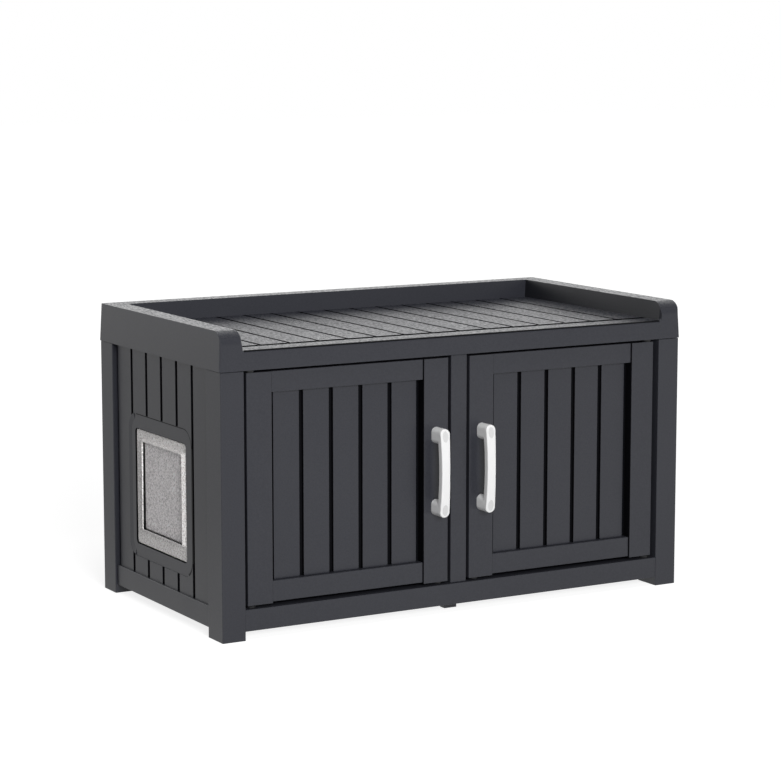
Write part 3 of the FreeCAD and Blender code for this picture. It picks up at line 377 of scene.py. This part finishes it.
def round_outline(y, z, radius, grow=0.0):
    """Points in Y and Z of a round-cornered outline, grown outwards all round."""
    points = []
    for turn, (side, end) in enumerate(((1, 1), (0, 1), (0, 0), (1, 0))):
        centre = (y[side] + (radius if side == 0 else -radius), z[end] + (radius if end == 0 else -radius))
        for i in range(CORNER_STEPS + 1):
            angle = math.pi / 2 * (turn + i / CORNER_STEPS)
            points.append((centre[0] + (radius + grow) * math.cos(angle),
                           centre[1] + (radius + grow) * math.sin(angle)))
    return points


def ribbon(outer, inner, back, closed=False):
    """A solid band between two lines of points in X, Y and Z, as thick as takes it to X back."""
    shape = bmesh.new()
    edges = []
    for line in (outer, inner):
        row = [shape.verts.new(point) for point in line]
        following = row[1:] + row[:1] if closed else row[1:]
        edges += [shape.edges.new(pair) for pair in zip(row, following)]
    bmesh.ops.bridge_loops(shape, edges=edges)
    grown = bmesh.ops.extrude_face_region(shape, geom=shape.faces[:])
    for thing in grown["geom"]:
        if isinstance(thing, bmesh.types.BMVert):
            thing.co.x = back
    bmesh.ops.recalc_face_normals(shape, faces=shape.faces)
    return shape


# A flat strip painted in full shade lies on the surround round its top, front and lower front
# corner, a painted shadow line where the planks' ends and the front groove shade it; it is wider
# where the planks hide half of it. At the back the surround swells out level with the planks.
TURN = CORNER_STEPS + 1
SHADOWED = slice(TURN - 1, 3 * TURN - 3)
SWELL_END = TURN - 2
SWELL_START = 3 * TURN + 2
edge_line = round_outline(SURROUND_Y, SURROUND_Z, SURROUND_RADIUS)
shadow_line = round_outline((SURROUND_Y[0] + SHADOW_FRONT_WIDTH, SURROUND_Y[1]),
                            (SURROUND_Z[0] + SHADOW_WIDTH, SURROUND_Z[1] - SHADOW_WIDTH), SURROUND_RADIUS)
swell_line = round_outline(SURROUND_Y, SURROUND_Z, SURROUND_RADIUS, -SWELL_WIDTH)
shadow_strip = ribbon([(STRIP_FRONT, y, z) for y, z in edge_line[SHADOWED]],
                [(STRIP_FRONT, y, z) for y, z in shadow_line[SHADOWED]], STRIP_BACK)
mark_painted_shade(shadow_strip, lambda middle: 1.0)
moulded("surround_painted_shadow", shadow_strip, "cabinet", charcoal_resin)
swell = ribbon([(-PLANK_FACE, y, z) for y, z in edge_line[SWELL_START:] + edge_line[:SWELL_END]],
               [(-SURROUND_FACE, y, z) for y, z in swell_line[SWELL_START:] + swell_line[:SWELL_END]],
               STRIP_BACK)
mark_painted_shade(swell, in_the_open)
moulded("surround_swell", swell, "cabinet", charcoal_resin)
skin("left_side_panel", "cabinet", charcoal_resin, PANEL_EDGE, painted_shade=side_shade)
skin("right_side_panel", "cabinet", charcoal_resin, PANEL_EDGE, painted_shade=side_shade)
skin("back_panel", "cabinet", charcoal_resin, PANEL_EDGE, painted_shade=back_shade)


# Cat flap frame and seal
# Two light grey mouldings clamp the panel between them. The outer one has a raised lip round
# the opening. A black rubber ring sits between them against the flap.
FRAME_EDGE = 0.0006
SEAL_EDGE = 0.0002
CLEAR_Y = (-0.06875, 0.10525)
CLEAR_Z = (0.1480, 0.3173)
CLEAR_RADIUS = 0.003
LIP_THICK = 0.0004
LIP_GAP = 0.00001
LIP_FRONT = -0.4911
LIP_FRONT_SILL = -0.4930
LIP_BACK = -0.4880
SILL_RISE = 0.012

# The mould was spark eroded, which leaves a sandy skin that sparkles in raking light. The
# sand is drawn at 2.6 mm, coarser than it is.
sandy_resin = grained_resin("spark_eroded_abs_light_grey", "f6f3f2", 0.5, 0.00060, 0.34, grain=0.0026)
# The seal is soft black rubber, dull enough to show as a plain dark line.
seal_rubber = grained_resin("moulded_rubber_black", "0b0b0c", 0.7, 0.00002, 0.05)
skin("flap_outer_frame", "cabinet", sandy_resin, FRAME_EDGE)
skin("flap_inner_frame", "cabinet", sandy_resin, FRAME_EDGE)
skin("flap_seal", "cabinet", seal_rubber, SEAL_EDGE)


def lip_front(height):
    """X of the lip's front edge, which stands further out along the sill."""
    part = min(max((height - CLEAR_Z[0]) / SILL_RISE, 0.0), 1.0)
    return LIP_FRONT_SILL + (LIP_FRONT - LIP_FRONT_SILL) * part


lip_lines = [[(lip_front(z), y, z) for y, z in round_outline(CLEAR_Y, CLEAR_Z, CLEAR_RADIUS, grow)]
             for grow in (-LIP_GAP, -LIP_THICK)]
lip = ribbon(*lip_lines, LIP_BACK, closed=True)
moulded("flap_seal_lip", lip, "cabinet", seal_rubber)


# Cat flap, its pin and the magnets
# A stiff plate of frosted light grey plastic that hangs from a steel pin through its top
# edge. A bar magnet in its lower edge meets another in the sill and holds it shut.
FLAP_EDGE = 0.0005
FLAP_PIN_EDGE = 0.0002
MAGNET_EDGE = 0.0003
CRYSTAL = 1 / 900


def plated_metal(name, colour, roughness):
    """Plated metal whose gleam is broken up by a fine pattern of 1.1 mm crystals."""
    material, tree = new_material(name)
    place = add_node(tree, "ShaderNodeTexCoord").outputs["Object"]
    crystals = add_node(tree, "ShaderNodeTexNoise", {"Scale": 1 / CRYSTAL, "Detail": 2.0}, Vector=place)
    rough = add_node(tree, "ShaderNodeMapRange", {"From Min": 0.3, "From Max": 0.7,
                                                  "To Min": roughness - 0.06, "To Max": roughness + 0.06},
                     Value=crystals.outputs["Fac"])
    shader = add_node(tree, "ShaderNodeBsdfPrincipled", {"Base Color": linear(colour), "Metallic": 1.0},
                      Roughness=rough.outputs[0])
    add_node(tree, "ShaderNodeOutputMaterial", Surface=shader.outputs[0])
    return material


# The flap is frosted on the outside, a shade darker and rougher than its frame. The pin is
# bright zinc and the magnets are darker nickel, both with a blurred gleam.
frosted_resin = grained_resin("frosted_polycarbonate_grey", "f0eced", 0.5, 0.00080, 0.36, grain=0.0030)
zinc_steel = plated_metal("zinc_plated_steel", "b4b6b8", 0.32)
nickel_magnet = plated_metal("nickel_plated_magnet", "9a9a98", 0.25)
skin("cat_flap", "cat_flap", frosted_resin, FLAP_EDGE)
skin("flap_pin", "cat_flap", zinc_steel, FLAP_PIN_EDGE)
skin("flap_magnet", "cat_flap", nickel_magnet, MAGNET_EDGE)
skin("sill_magnet", "cabinet", nickel_magnet, MAGNET_EDGE)


# Door frames
# Two stiles and two rails to each door, hollow mouldings that plug into each other. The rails
# stand 3 mm behind the handle stile's face, and the stiles' narrow sides that stand up from the
# rails and slats are painted in full shade, a fine dark line where they meet.
DOOR_EDGE = 0.0012
STILE_SIDES = (0.0766, 0.3937)
SIDE_REACH = 0.0009


def stile_shade(middle):
    """Full painted shade on the narrow sides of the stiles that stand up from the rails and slats."""
    return 1.0 if any(abs(abs(middle.x) - side) < SIDE_REACH for side in STILE_SIDES) else 0.0


for side in ("left", "right"):
    for member in ("hinge_stile", "handle_stile"):
        skin("%s_door_%s" % (side, member), side + "_door", charcoal_resin, DOOR_EDGE, painted_shade=stile_shade)
    for member in ("top_rail", "bottom_rail"):
        skin("%s_door_%s" % (side, member), side + "_door", charcoal_resin, DOOR_EDGE)


# Slat panels
# One moulding to each door with five broad slats in relief. The grooves between them and
# beside the stiles are deep and painted in full shade, so that they read as black lines.
SLAT_FACE = -0.22905
SLAT_EDGE = 0.0008
SLAT_GROOVE_DEPTH = 0.0085


def slat_shade(middle):
    """Full painted shade inside the grooves between the slats."""
    return 1.0 if SLAT_FACE + GROOVE_START < middle.y < SLAT_FACE + SLAT_GROOVE_DEPTH else 0.0


for side in ("left", "right"):
    skin(side + "_door_slat_panel", side + "_door", charcoal_resin, SLAT_EDGE, painted_shade=slat_shade)


# Centre stile
# A plain box-section upright between the doors, fixed to the rail below and the header above,
# that both doors close beside.
skin("centre_stile", "cabinet", charcoal_resin, DOOR_EDGE)


# Pivot pins, bushes and glides
# Steel pins in the doors' corners turn in black acetal bushes pressed into the rail and the
# header. A small acetal glide under each handle stile carries the door over the rail.
PIN_EDGE = 0.0004
GLIDE_EDGE = 0.0006

# Acetal comes smooth from the mould, black with a waxy gleam.
acetal = grained_resin("smooth_acetal_black", "161618", 0.35, 0.00001, 0.02)
for side in ("left", "right"):
    skin(side + "_door_pins", side + "_door", zinc_steel, PIN_EDGE)
    skin(side + "_hinge_bushes", "cabinet", acetal, PIN_EDGE)
    skin(side + "_door_glide", side + "_door", acetal, GLIDE_EDGE)


# Catches and strike plates
# A box with a magnet inside hangs from the header above each door, and a thin steel plate on
# the door's back meets it.
CATCH_EDGE = 0.0008
STRIKE_EDGE = 0.0002

for side in ("left", "right"):
    skin(side + "_catch", "cabinet", acetal, CATCH_EDGE)
    skin(side + "_strike_plate", side + "_door", zinc_steel, STRIKE_EDGE)


# Handles
# Bow handles of pale grey ABS, waisted in the middle. Each stands on two round-ended legs, is
# held by two screws from behind the stile, and has an oval cap over each screw's end.
HANDLE_X = 0.050
HANDLE_Z = 0.275
DOOR_FACE = -0.24225
HANDLE_HALF = 0.084
HANDLE_END = 0.01025
HANDLE_WAIST = 0.0090
HANDLE_NEAR = 0.0330
HANDLE_FAR = 0.0386
HANDLE_BAR = 0.0140
HANDLE_FRONT_ROUND = 0.0022
HANDLE_BACK_ROUND = 0.0030
LEG_START = 0.0530
LEG_END = 0.01005
LEG_BURIED = 0.0050
CAP_OFFSET = 0.0695
CAP_HALF = (0.0060, 0.0105)
CAP_THICK = 0.0012
CAP_PROUD = 0.00025
SCREW_EDGE = 0.0003
ROUND_STEPS = 16
SIDE_STEPS = 20
BOW_STEPS = 32


def bow(height):
    """How far the grip's front stands off the door at a height from the handle's middle."""
    return HANDLE_NEAR + (HANDLE_FAR - HANDLE_NEAR) * (1 - (height / HANDLE_HALF) ** 2)


def prism(points, front, back):
    """A straight block whose outline in X and Z is given by points, from front to back in Y."""
    shape = bmesh.new()
    ring = [shape.verts.new((x, front, z)) for x, z in points]
    face = shape.faces.new(ring)
    grown = bmesh.ops.extrude_face_region(shape, geom=[face])
    moved = [thing for thing in grown["geom"] if isinstance(thing, bmesh.types.BMVert)]
    bmesh.ops.translate(shape, verts=moved, vec=(0.0, back - front, 0.0))
    bmesh.ops.recalc_face_normals(shape, faces=shape.faces)
    return shape


def round_rim(shape, y, width, segments):
    """Round the edges of a prism that lie at the depth y."""
    rim = [e for e in shape.edges if all(abs(v.co.y - y) < SAME_POINT for v in e.verts)]
    bmesh.ops.bevel(shape, geom=rim, offset=width, segments=segments, profile=0.5, affect="EDGES",
                    material=-1, clamp_overlap=True)


def stadium(half_width, low, high):
    """Points of an upright outline with two half-round ends."""
    points = []
    for turn, middle in ((0.0, high - half_width), (math.pi, low + half_width)):
        for i in range(ROUND_STEPS + 1):
            angle = turn + math.pi * i / ROUND_STEPS
            points.append((half_width * math.cos(angle), middle + half_width * math.sin(angle)))
    return points


def grip_outline():
    """Points of the grip seen from in front: two round ends joined by hollow sides."""
    turn = HANDLE_HALF - HANDLE_END
    points = []
    for end in (1, -1):
        for i in range(ROUND_STEPS + 1):
            angle = math.pi * i / ROUND_STEPS
            points.append((end * HANDLE_END * math.cos(angle),
                           end * (turn + HANDLE_END * math.sin(angle))))
        for i in range(1, SIDE_STEPS):
            height = end * turn * (1 - 2 * i / SIDE_STEPS)
            half_width = HANDLE_WAIST + (HANDLE_END - HANDLE_WAIST) * (height / turn) ** 2
            points.append((-end * half_width, height))
    return points


def bend_to_bow(shape):
    """Cut the shape across at even heights and push each point out to the grip's bow."""
    heights = [v.co.z for v in shape.verts]
    low, high = min(heights), max(heights)
    for i in range(1, BOW_STEPS):
        height = low + (high - low) * i / BOW_STEPS
        bmesh.ops.bisect_plane(shape, geom=shape.verts[:] + shape.edges[:] + shape.faces[:],
                               plane_co=(0.0, 0.0, height), plane_no=(0.0, 0.0, 1.0))
    for v in shape.verts:
        v.co.y -= bow(v.co.z)


def oval(middle, half_width, half_height):
    """Points of an upright oval."""
    steps = 2 * ROUND_STEPS
    return [(half_width * math.cos(2 * math.pi * i / steps),
             middle + half_height * math.sin(2 * math.pi * i / steps)) for i in range(steps)]


def add_shape(shape, other):
    """Join another shape into this one and free it."""
    mesh = bpy.data.meshes.new("joined")
    other.to_mesh(mesh)
    shape.from_mesh(mesh)
    other.free()
    bpy.data.meshes.remove(mesh)


def handle_shapes():
    """The grip with its two legs, and the two caps, about the handle's middle on the door."""
    grip = prism(grip_outline(), 0.0, HANDLE_BAR)
    round_rim(grip, 0.0, HANDLE_FRONT_ROUND, 4)
    round_rim(grip, HANDLE_BAR, HANDLE_BACK_ROUND, 4)
    bend_to_bow(grip)
    caps = bmesh.new()
    for end in (1, -1):
        low, high = sorted((end * LEG_START, end * (HANDLE_HALF - HANDLE_END + LEG_END)))
        leg = prism(stadium(LEG_END, low, high), 0.0, HANDLE_BAR - HANDLE_NEAR - LEG_BURIED)
        add_shape(grip, leg)
        cap = prism(oval(end * CAP_OFFSET, *CAP_HALF), -CAP_PROUD, CAP_THICK - CAP_PROUD)
        round_rim(cap, -CAP_PROUD, CAP_PROUD, 2)
        for v in cap.verts:
            v.co.y -= bow(v.co.z)
        add_shape(caps, cap)
    return grip, caps


# Polished ABS, almost white, with a satin gleam that softens along the bow. The caps are a
# shade darker and duller; their darker tone is painted shade that stands for the shading in the
# dimples over the screws.
pale_resin = grained_resin("satin_abs_pale_grey", "e4e4e4", 0.4, 0.00001, 0.01)
dimple_shade_resin = grained_resin("matt_abs_grey_painted_dimple_shade", "cecece", 0.55, 0.00002, 0.03)
for side, sign in (("left", -1), ("right", 1)):
    grip, caps = handle_shapes()
    for shape in (grip, caps):
        bmesh.ops.translate(shape, verts=shape.verts, vec=(sign * HANDLE_X, DOOR_FACE, HANDLE_Z))
    handle = moulded(side + "_bow_handle", grip, side + "_door", pale_resin)
    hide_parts(side + "_handle")
    moulded(side + "_handle_caps", caps, side + "_door", dimple_shade_resin)
    skin(side + "_handle_screws", side + "_door", zinc_steel, SCREW_EDGE)


# Lid
# One large moulding with a raised rim on three sides and a planked deck that drops to a
# rounded lip in front. It rests on the headers and hides the posts' upper ends. Its rim and
# lip are round already, and short edges there leave the rest almost no rounding.
LID_EDGE = 0.0010
# How much of the painted shade falls on the right rim's inner side.
RIM_SHADE = 0.7
DECK_TOP = 0.5295
DECK_GROOVE = 0.0026
RIM_TOP = 0.5653
RIM_INNER = 0.4592
CROSS_GROOVE_FRONT = -0.19725
CROSS_GROOVE_WIDENING = 0.0085
PLANK_PITCH = 0.0602
PLANK_GROOVE_HALF = 0.0025
PLANK_GROOVE_WIDENING = 0.0010
NEAR = 0.0003
LEVEL = 0.0001
RIM_ROUND = 0.002
RIM_DRAFT = 0.007
LIP_STIPPLED = 0.001
UPWARD = 0.5


def deck_shade(middle):
    """Painted shade: full inside the grooves of the deck, and some on the right rim's inner side."""
    if not RIM_TOP - RIM_ROUND > middle.z > DECK_TOP - DECK_GROOVE - NEAR or abs(middle.x) > RIM_INNER:
        return 0.0
    if middle.z < DECK_TOP - LEVEL:
        return 1.0
    on_rim = middle.x > RIM_INNER - RIM_DRAFT and middle.z > DECK_TOP + RIM_ROUND
    return RIM_SHADE if on_rim else 0.0


def widen_grooves(shape):
    """Move the walls of the deck's grooves apart, so that their lines are as wide to the eye."""
    for v in shape.verts:
        if not DECK_TOP - DECK_GROOVE - NEAR < v.co.z < DECK_TOP + NEAR or abs(v.co.x) > RIM_INNER:
            continue
        if abs(v.co.y - CROSS_GROOVE_FRONT) < NEAR:
            v.co.y -= CROSS_GROOVE_WIDENING
        middle = (math.floor(v.co.x / PLANK_PITCH) + 0.5) * PLANK_PITCH
        if abs(abs(v.co.x - middle) - PLANK_GROOVE_HALF) < NEAR:
            v.co.x += math.copysign(PLANK_GROOVE_WIDENING, v.co.x - middle)


# The deck's stipple is rougher than the walls' grain and glitters in the light of the wall
# behind. It is drawn 2 mm across and five times as long, or it would blur at this low angle.
deck_resin = grained_resin("stippled_polypropylene_charcoal", "2d2e34", 0.30, 0.00040, 0.15, grain=0.0021,
                           stretch=(1.0, 0.18, 1.0), shade=0.85, pits=0.55)
# The deck's grooves and the right rim's inner side get painted shade from deck_shade.
lid = skin("lid_tray", "cabinet", charcoal_resin, LID_EDGE, painted_shade=deck_shade, change=widen_grooves)
lid.data.materials.append(deck_resin)
for face in lid.data.polygons:
    if face.normal.z > UPWARD and face.center.z > DECK_TOP - LIP_STIPPLED:
        face.material_index = 1
